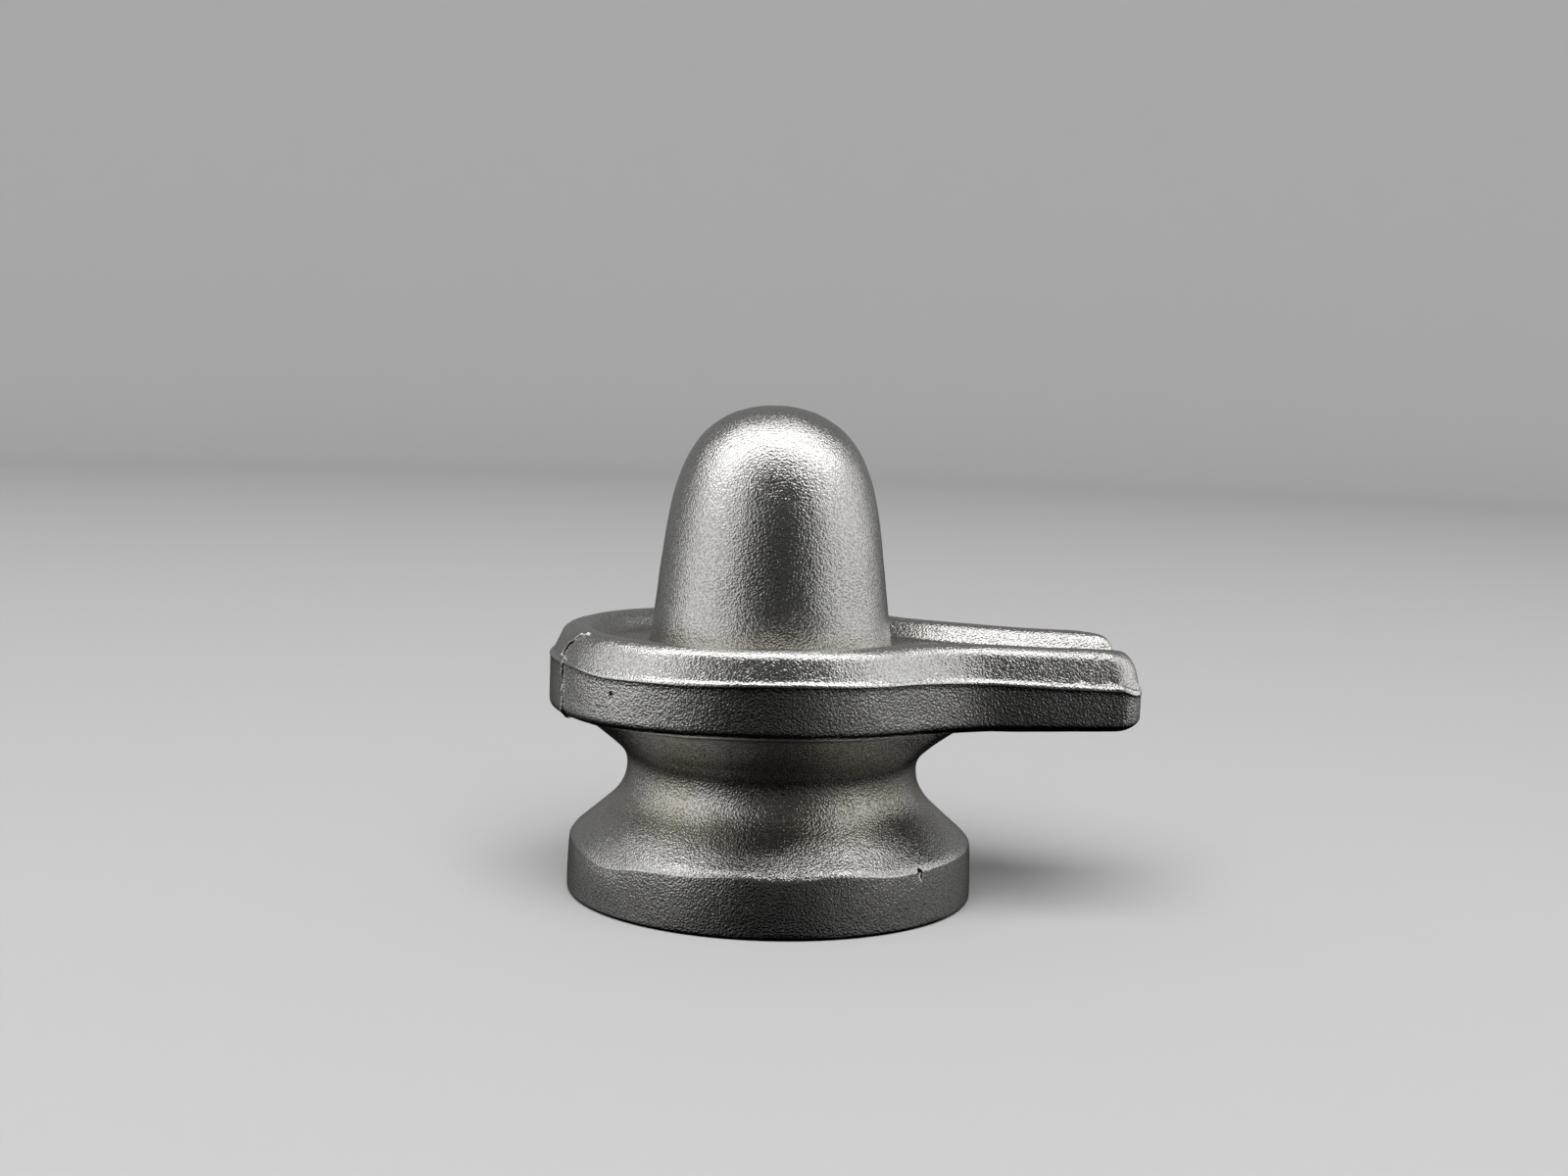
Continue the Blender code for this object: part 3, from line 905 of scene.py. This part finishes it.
def floor_and_backdrop(stage):
    """A round pale floor whose edge curves up all round into a backdrop, turned from one profile."""
    flat, sweep, tall, steps = 0.75, 0.30, 0.9, 96
    bend = arc((flat, sweep), sweep, -math.pi / 2, 0.0, 24)
    profile = np.vstack([[[0.05, 0.0], [0.2, 0.0]], bend, [[flat + sweep, tall]]])
    turn = np.linspace(0.0, 2 * math.pi, steps, endpoint=False)
    ring = np.stack([np.cos(turn), np.sin(turn)], axis=1)
    points = np.concatenate(
        [
            profile[:, None, :1] * ring[None],
            np.broadcast_to(profile[:, None, 1:], (len(profile), steps, 1)),
        ],
        axis=2,
    ).reshape(-1, 3)
    index = np.arange(len(points)).reshape(len(profile), steps)
    after = np.roll(index, -1, axis=1)
    faces = np.stack([index[:-1], index[1:], after[1:], after[:-1]], axis=2).reshape(-1, 4).tolist()
    faces.append(index[0].tolist())
    mesh = bpy.data.meshes.new("floor")
    mesh.from_pydata(points.tolist(), [], faces)
    mesh.polygons.foreach_set("use_smooth", np.ones(len(faces), bool))
    material = bpy.data.materials.new("pale floor")
    material.use_nodes = True
    shader = material.node_tree.nodes["Principled BSDF"]
    shader.inputs["Base Color"].default_value = (*stage.floor, 1.0)
    shader.inputs["Roughness"].default_value = 0.8
    shader.inputs["Specular IOR Level"].default_value = 0.1
    mesh.materials.append(material)
    floor = bpy.data.objects.new("floor", mesh)
    bpy.context.scene.collection.objects.link(floor)
    floor.visible_glossy = False
    floor.visible_shadow = False


def surroundings(stage):
    """Grey light from all round: dim on the camera's side and even behind the object.

    Below the horizon only its left and right sides glow faintly, and straight down it is black.
    """
    world = bpy.data.worlds.new("studio")
    bpy.context.scene.world = world
    world.use_nodes = True
    nodes = Nodes(world.node_tree)
    way = nodes.add("ShaderNodeTexCoord").outputs["Generated"]
    split = nodes.add("ShaderNodeSeparateXYZ", Vector=way)
    behind = nodes.ramp(split.outputs["Y"], -0.4, 0.8, stage.front, stage.back)
    sideways = nodes.add("ShaderNodeMath", {"operation": "ABSOLUTE"}, _0=split.outputs["X"]).outputs[0]
    below = nodes.ramp(sideways, 0.2, 0.9, 0.01, stage.below)
    below = nodes.product(below, nodes.ramp(split.outputs["Z"], -0.6, -0.1))
    rise = nodes.ramp(split.outputs["Z"], -0.15, 0.05)
    grey = nodes.add("ShaderNodeMix", {"data_type": "FLOAT"}, _0=rise, _2=below, _3=behind).outputs[0]
    light = world.node_tree.nodes["Background"]
    nodes.join(light, "Color", (1.0, 1.0, 1.0, 1.0))
    nodes.join(light, "Strength", grey)


def near_panels(stage):
    """Four soft panels close to the object, two at its left, one at its right and one overhead.

    Only the metal mirrors them. The power is four times the area times the wanted brightness.
    """
    for name, place, target, width, height, bright in (
        ("left panel", (-0.082, -0.043, 0.056), (0.0, -0.043, 0.056), 0.112, 0.096, stage.left_power),
        ("front panel", (-0.070, -0.112, 0.082), (0.0, -0.010, 0.050), 0.040, 0.070, stage.front_power),
        ("right panel", (0.082, -0.014, 0.060), (0.0, -0.014, 0.060), 0.119, 0.084, stage.right_power),
        ("top panel", (-0.004, -0.0128, 0.065), (-0.004, -0.0127, 0.0), 0.106, 0.0336, stage.top_power),
    ):
        panel = soft_light(name, place, target, width, height, 4.0 * width * height * bright)
        panel.visible_diffuse = False
        panel.visible_camera = False


def add_camera(scene):
    """The photo's camera: a pinhole fitted to the object's outline, tilted down and slightly rolled."""
    tilt, roll = 0.0992, 0.0292
    data = bpy.data.cameras.new("camera")
    data.sensor_width = 36.0
    data.lens = 44.97
    data.clip_start = 0.005
    camera = bpy.data.objects.new("camera", data)
    scene.collection.objects.link(camera)
    camera.location = (0.00058, -0.15312, 0.03917)
    camera.rotation_mode = "QUATERNION"
    level = Quaternion((1.0, 0.0, 0.0), math.pi / 2 - tilt)
    camera.rotation_quaternion = level @ Quaternion((0.0, 0.0, 1.0), roll)
    scene.camera = camera


class LINGAM_OT_stage(bpy.types.Operator):
    """Add the pale floor, the soft lights and the camera"""

    bl_idname = "lingam.stage"
    bl_label = "Build Stage"

    def execute(self, context):
        stage = context.scene.lingam_stage
        context.scene.view_settings.view_transform = "Standard"
        surroundings(stage)
        near_panels(stage)
        floor_and_backdrop(stage)
        place, target = (0.0, -0.35, 0.85), (0.0, 0.45, 0.10)
        fill = soft_light("floor light", place, target, 1.0, 1.0, stage.floor_power)
        fill.visible_glossy = False
        fill.visible_camera = False
        add_camera(context.scene)
        return {"FINISHED"}


class LINGAM_PT_panel(bpy.types.Panel):
    """Lists the steps that build the object and its stage."""

    bl_label = "Cast Shiva Lingam"
    bl_idname = "LINGAM_PT_panel"
    bl_space_type = "VIEW_3D"
    bl_region_type = "UI"
    bl_category = "Lingam"

    def draw(self, context):
        for operator in (LINGAM_OT_casting, LINGAM_OT_stage):
            self.layout.operator(operator.bl_idname)


GROUPS = {
    "lingam_foot": LINGAM_PG_foot,
    "lingam_tray": LINGAM_PG_tray,
    "lingam_pillar": LINGAM_PG_pillar,
    "lingam_marks": LINGAM_PG_marks,
    "lingam_finish": LINGAM_PG_finish,
    "lingam_stage": LINGAM_PG_stage,
}
OPERATORS = (LINGAM_OT_casting, LINGAM_OT_stage)


def register():
    """Registers the groups of sizes, the operators and the panel."""
    for name, group in GROUPS.items():
        bpy.utils.register_class(group)
        setattr(bpy.types.Scene, name, bpy.props.PointerProperty(type=group))
    for operator in OPERATORS:
        bpy.utils.register_class(operator)
    bpy.utils.register_class(LINGAM_PT_panel)


def unregister():
    """Undoes register."""
    bpy.utils.unregister_class(LINGAM_PT_panel)
    for operator in OPERATORS:
        bpy.utils.unregister_class(operator)
    for name, group in GROUPS.items():
        delattr(bpy.types.Scene, name)
        bpy.utils.unregister_class(group)


def main():
    """Builds everything: registers the groups, operators and panel, then builds the casting and the stage."""
    register()
    bpy.ops.lingam.casting()
    bpy.ops.lingam.stage()


if __name__ == "__main__":
    main()
